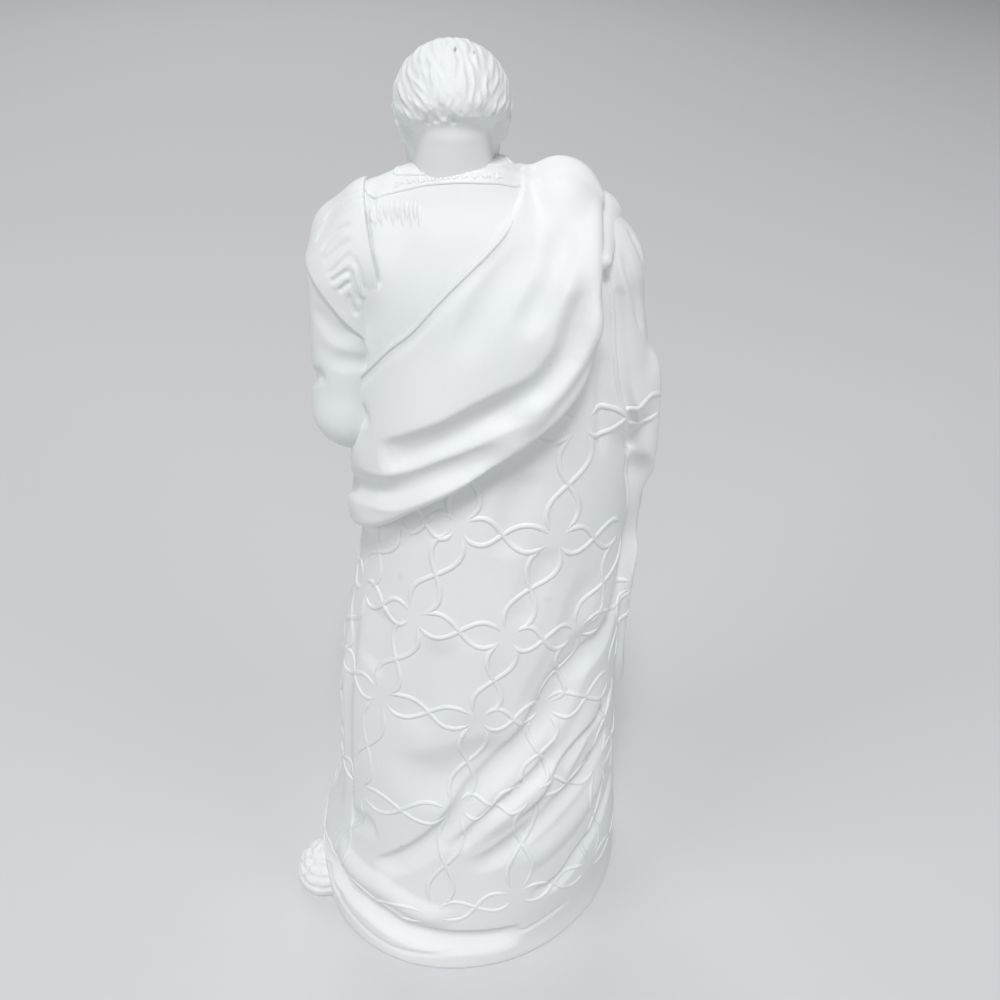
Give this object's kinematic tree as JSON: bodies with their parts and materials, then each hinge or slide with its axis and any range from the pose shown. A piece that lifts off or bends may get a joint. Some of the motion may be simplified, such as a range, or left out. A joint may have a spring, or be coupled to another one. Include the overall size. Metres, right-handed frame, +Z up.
{
  "type": "wise man figurine",
  "caption": "Standing robed and bearded figure with a mantle over one shoulder, holding a small covered jar, in one white bisque casting.",
  "frame": {"origin": "middle of the underside", "axes": "+Z up; the figure faces -Y, with its left hand towards +X"},
  "size_m": [0.0965, 0.0918, 0.23],
  "materials": {
    "bisque": "matt unglazed white porcelain"
  },
  "bodies": {
    "root": {"wise_man_figurine": "bisque"}
  },
  "joints": []
}
